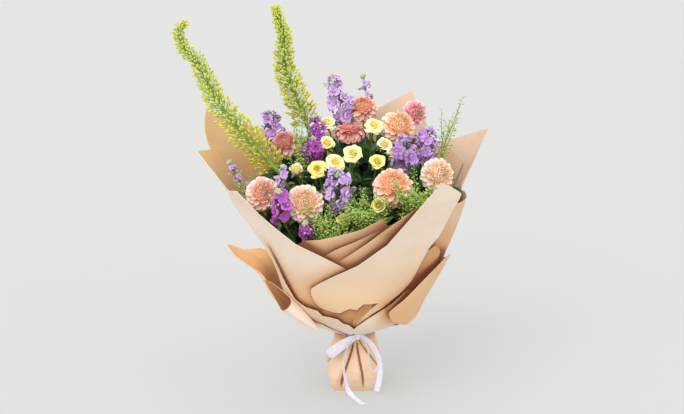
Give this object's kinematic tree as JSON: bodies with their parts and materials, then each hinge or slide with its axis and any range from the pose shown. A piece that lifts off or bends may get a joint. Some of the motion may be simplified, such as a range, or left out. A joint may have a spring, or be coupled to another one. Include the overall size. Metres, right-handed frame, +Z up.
{
  "type": "mixed flower bouquet",
  "caption": "Tall hand-tied bouquet of dahlias, spray roses, stocks and foxtail lilies in layered kraft paper, standing on its gathered paper foot with a satin bow.",
  "frame": {"origin": "centre of the paper foot's flat underside, on the surface that the bouquet stands on", "axes": "+Z up along the bundle of stems, -Y towards the front of the bouquet, +X to the right of someone who looks at its front"},
  "size_m": [0.6178, 0.3954, 0.7687],
  "materials": {
    "petals_peach": "matt, soft peach-orange petals",
    "petals_pink": "matt, soft dusty pink petals",
    "petals_cream": "matt, soft cream petals with a blush",
    "petals_yellow": "matt, soft lemon petals",
    "petals_olive": "matt, soft olive-gold petals",
    "petals_lilac": "matt, soft lilac petals",
    "petals_magenta": "matt, soft deep magenta petals",
    "florets_lime": "matt, yellow-green buds",
    "seeds_green": "matt, bright green pods",
    "foliage": "dark green stems and slightly glossy leaves",
    "string": "matt twisted string",
    "kraft_paper": "matt, creased kraft paper",
    "satin": "smooth satin, pale lilac white"
  },
  "bodies": {
    "root": {"dahlia_1": "petals_pink", "dahlia_2": "petals_cream", "dahlia_3": "petals_pink", "dahlia_4": "petals_pink", "dahlia_5": "petals_peach", "dahlia_6": "petals_peach", "dahlia_7": "petals_pink", "dahlia_8": "petals_peach", "dahlia_9": "petals_cream", "rose_1": "petals_yellow", "rose_2": "petals_yellow", "rose_3": "petals_yellow", "rose_4": "petals_yellow", "rose_5": "petals_yellow", "rose_6": "petals_yellow", "rose_7": "petals_yellow", "rose_8": "petals_yellow", "rose_9": "petals_cream", "rose_10": "petals_cream", "rose_11": "petals_olive", "rose_12": "petals_olive", "rose_13": "petals_yellow", "stock_1": "petals_lilac", "stock_2": "petals_magenta", "stock_3": "petals_magenta", "stock_4": "petals_magenta", "stock_5": "petals_lilac", "stock_6": "petals_lilac", "stock_7": "petals_lilac", "stock_8": "petals_lilac", "stock_9": "petals_lilac", "stock_10": "petals_lilac", "stock_11": "petals_magenta", "stock_12": "petals_lilac", "foxtail_1": "florets_lime", "foxtail_2": "florets_lime", "seeds_1": "seeds_green", "seeds_2": "seeds_green", "seeds_3": "seeds_green", "seeds_4": "seeds_green", "seeds_5": "seeds_green", "seeds_6": "seeds_green", "stems_and_leaves": "foliage", "stem_tie": "string", "paper_foot": "kraft_paper", "paper_back": "kraft_paper", "paper_back_left": "kraft_paper", "paper_left": "kraft_paper", "paper_right": "kraft_paper", "paper_right_inner": "kraft_paper", "paper_front_lip": "kraft_paper", "paper_front_left": "kraft_paper", "paper_front_right": "kraft_paper", "paper_low_front": "kraft_paper", "paper_low_right": "kraft_paper", "paper_low_left": "kraft_paper", "ribbon": "satin"}
  },
  "joints": []
}
